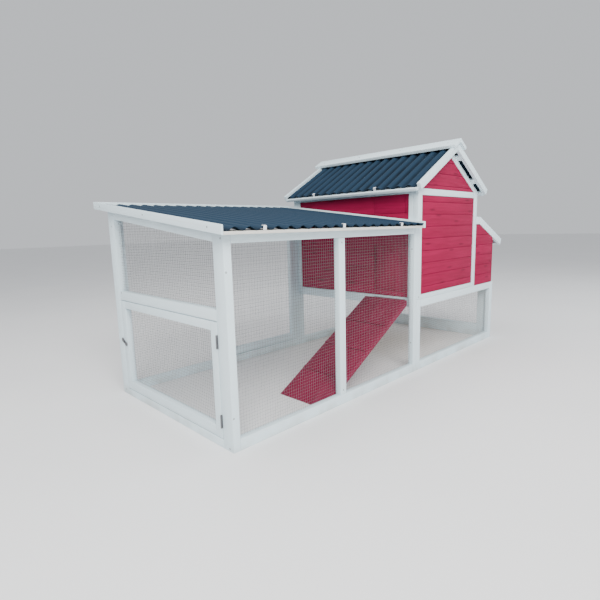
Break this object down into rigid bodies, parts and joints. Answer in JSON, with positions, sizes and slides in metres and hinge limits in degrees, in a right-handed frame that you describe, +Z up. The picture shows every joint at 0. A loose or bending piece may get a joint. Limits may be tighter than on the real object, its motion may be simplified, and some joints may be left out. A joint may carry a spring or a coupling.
{
  "type": "chicken coop",
  "caption": "Raised plank hen house with a gable roof and a lidded nest box, joined to a wire mesh run with a lean-to roof, side doors and a ramp.",
  "frame": {"origin": "on the ground, under the middle of the coop's bounding box", "axes": "+X along the length from the run to the nest box, +Y from the near long side to the back, +Z up"},
  "size_m": [2.3602, 1.0358, 1.2455],
  "materials": {
    "base_back_frame": "painted",
    "base_back_mesh": "galvanised",
    "base_end_frame": "painted",
    "base_end_mesh": "galvanised",
    "base_front_frame": "painted",
    "base_front_mesh": "galvanised",
    "house_back_door": "painted",
    "house_back_door_button": "dull",
    "house_back_frame": "painted",
    "house_back_gable_planks": "painted",
    "house_floor": "sawn",
    "house_front_frame": "painted",
    "house_front_gable_planks": "painted",
    "house_front_planks": "painted",
    "house_nest_wall": "painted",
    "house_run_wall_frame": "painted",
    "house_run_wall_planks": "painted",
    "nest_divider": "sawn",
    "nest_floor": "sawn",
    "nest_lid_frame": "painted",
    "nest_lid_ledge": "painted",
    "nest_lid_sheet": "weathered",
    "nest_walls": "painted",
    "perch": "sawn",
    "pop_door": "painted",
    "ramp": "painted",
    "ramp_hanger": "dull",
    "ridge_cap": "painted",
    "roof_frame_nest_side": "painted",
    "roof_frame_run_side": "painted",
    "roof_sheet_nest_side": "weathered",
    "roof_sheet_run_side": "weathered",
    "run_back_door_button": "dull",
    "run_back_door_frame": "painted",
    "run_back_door_mesh": "galvanised",
    "run_back_frame": "painted",
    "run_back_mesh": "galvanised",
    "run_door_button": "dull",
    "run_door_frame": "painted",
    "run_door_hinge_lower": "dull",
    "run_door_hinge_upper": "dull",
    "run_door_mesh": "galvanised",
    "run_end_bottom_rail": "painted",
    "run_end_far_stile": "painted",
    "run_end_mesh": "galvanised",
    "run_end_mid_rail": "painted",
    "run_end_near_stile": "painted",
    "run_end_top_rail": "painted",
    "run_front_bottom_rail": "painted",
    "run_front_end_post": "painted",
    "run_front_mesh_end": "galvanised",
    "run_front_mesh_house": "galvanised",
    "run_front_mid_post": "painted",
    "run_front_top_rail": "painted",
    "run_roof_back_fascia": "painted",
    "run_roof_eave_batten": "painted",
    "run_roof_end_fascia": "painted",
    "run_roof_house_fascia": "painted",
    "run_roof_mid_batten": "painted",
    "run_roof_sheet": "weathered"
  },
  "bodies": {
    "coop": {"base_back_frame": "base_back_frame", "base_back_mesh": "base_back_mesh", "base_end_frame": "base_end_frame", "base_end_mesh": "base_end_mesh", "base_front_frame": "base_front_frame", "base_front_mesh": "base_front_mesh", "house_back_frame": "house_back_frame", "house_back_gable_planks": "house_back_gable_planks", "house_floor": "house_floor", "house_front_frame": "house_front_frame", "house_front_gable_planks": "house_front_gable_planks", "house_front_planks": "house_front_planks", "house_nest_wall": "house_nest_wall", "house_run_wall_frame": "house_run_wall_frame", "house_run_wall_planks": "house_run_wall_planks", "nest_divider": "nest_divider", "nest_floor": "nest_floor", "nest_lid_ledge": "nest_lid_ledge", "nest_walls": "nest_walls", "perch": "perch", "ramp_hanger": "ramp_hanger", "ridge_cap": "ridge_cap", "roof_frame_nest_side": "roof_frame_nest_side", "roof_frame_run_side": "roof_frame_run_side", "roof_sheet_nest_side": "roof_sheet_nest_side", "roof_sheet_run_side": "roof_sheet_run_side", "run_back_frame": "run_back_frame", "run_back_mesh": "run_back_mesh", "run_door_hinge_lower": "run_door_hinge_lower", "run_door_hinge_upper": "run_door_hinge_upper", "run_end_bottom_rail": "run_end_bottom_rail", "run_end_far_stile": "run_end_far_stile", "run_end_mesh": "run_end_mesh", "run_end_mid_rail": "run_end_mid_rail", "run_end_near_stile": "run_end_near_stile", "run_end_top_rail": "run_end_top_rail", "run_front_bottom_rail": "run_front_bottom_rail", "run_front_end_post": "run_front_end_post", "run_front_mesh_end": "run_front_mesh_end", "run_front_mesh_house": "run_front_mesh_house", "run_front_mid_post": "run_front_mid_post", "run_front_top_rail": "run_front_top_rail", "run_roof_back_fascia": "run_roof_back_fascia", "run_roof_eave_batten": "run_roof_eave_batten", "run_roof_end_fascia": "run_roof_end_fascia", "run_roof_house_fascia": "run_roof_house_fascia", "run_roof_mid_batten": "run_roof_mid_batten", "run_roof_sheet": "run_roof_sheet"},
    "run_door": {"run_door_frame": "run_door_frame", "run_door_mesh": "run_door_mesh"},
    "run_door_button": {"run_door_button": "run_door_button"},
    "run_back_door": {"run_back_door_frame": "run_back_door_frame", "run_back_door_mesh": "run_back_door_mesh"},
    "run_back_door_button": {"run_back_door_button": "run_back_door_button"},
    "house_back_door": {"house_back_door": "house_back_door"},
    "house_back_door_button": {"house_back_door_button": "house_back_door_button"},
    "pop_door": {"pop_door": "pop_door"},
    "nest_lid": {"nest_lid_frame": "nest_lid_frame", "nest_lid_sheet": "nest_lid_sheet"},
    "ramp": {"ramp": "ramp"}
  },
  "joints": [
    {"name": "run_door_hinge", "type": "hinge", "parent": "coop", "child": "run_door", "pos_m": [-1.14936, -0.4045, 0.25], "axis": [0, 0, 1], "range_deg": [0, 110]},
    {"name": "run_door_button_turn", "type": "hinge", "parent": "run_door", "child": "run_door_button", "pos_m": [-1.14516, 0.382, 0.267], "axis": [1, 0, 0], "range_deg": [-90, 90]},
    {"name": "run_back_door_hinge", "type": "hinge", "parent": "coop", "child": "run_back_door", "pos_m": [-0.51766, 0.4525, 0.45], "axis": [0, 0, 1], "range_deg": [0, 110]},
    {"name": "run_back_door_button_turn", "type": "hinge", "parent": "run_back_door", "child": "run_back_door_button", "pos_m": [0.03184, 0.449, 0.45], "axis": [0, 1, 0], "range_deg": [-90, 90]},
    {"name": "house_back_door_hinge", "type": "hinge", "parent": "coop", "child": "house_back_door", "pos_m": [0.72734, 0.4525, 0.67], "axis": [0, 0, -1], "range_deg": [0, 110]},
    {"name": "house_back_door_button_turn", "type": "hinge", "parent": "house_back_door", "child": "house_back_door_button", "pos_m": [0.12184, 0.449, 0.7], "axis": [0, 1, 0], "range_deg": [-90, 90]},
    {"name": "pop_door_slide", "type": "slide", "parent": "coop", "child": "pop_door", "axis": [0, 1, 0], "range_m": [0, 0.225]},
    {"name": "nest_lid_hinge", "type": "hinge", "parent": "coop", "child": "nest_lid", "pos_m": [0.82484, -0.0085, 0.824], "axis": [0, -1, 0], "range_deg": [0, 90]},
    {"name": "ramp_hinge", "type": "hinge", "parent": "coop", "child": "ramp", "pos_m": [0.02784, -0.298, 0.391], "axis": [0, 1, 0], "range_deg": [0, 50]}
  ]
}
